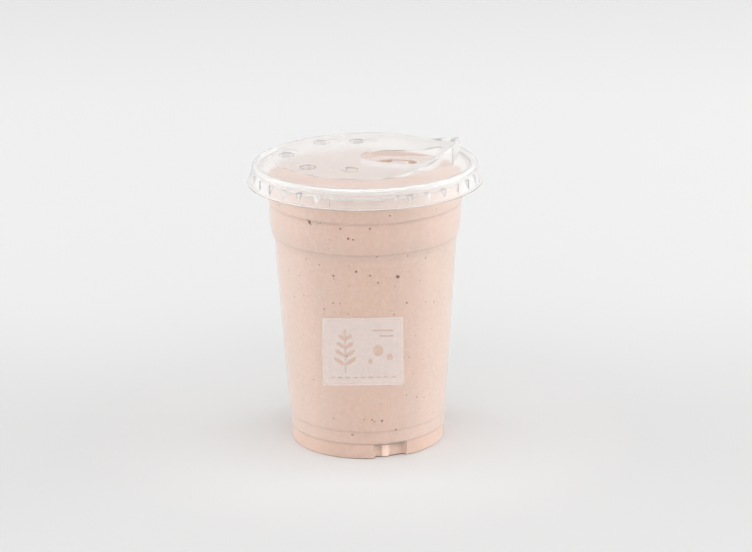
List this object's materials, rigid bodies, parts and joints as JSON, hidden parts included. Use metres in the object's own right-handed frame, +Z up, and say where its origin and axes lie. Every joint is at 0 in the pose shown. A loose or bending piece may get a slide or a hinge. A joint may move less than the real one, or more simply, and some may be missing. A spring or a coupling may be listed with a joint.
{
  "type": "strawberry smoothie",
  "caption": "Pale pink fruit smoothie in a thin clear takeaway cup with a press-on sip lid that has a raised spout, a lugged skirt and a notched cup foot.",
  "frame": {"origin": "centre of the foot of the cup, on the surface that it stands on", "axes": "+Z up along the axis of the cup, -Y towards the printed side, +X to the right of the print, where the spout of the lid points"},
  "size_m": [0.0974, 0.0974, 0.1293],
  "materials": {
    "cup_plastic": "thin clear injection-moulded plastic with a soft, slightly hazy gloss",
    "smoothie": "opaque pale pink blended fruit with tiny dark seeds",
    "lid_plastic": "thin clear glossy thermoformed plastic"
  },
  "bodies": {
    "root": {"cup": "cup_plastic", "smoothie": "smoothie", "lid": "lid_plastic"}
  },
  "joints": []
}
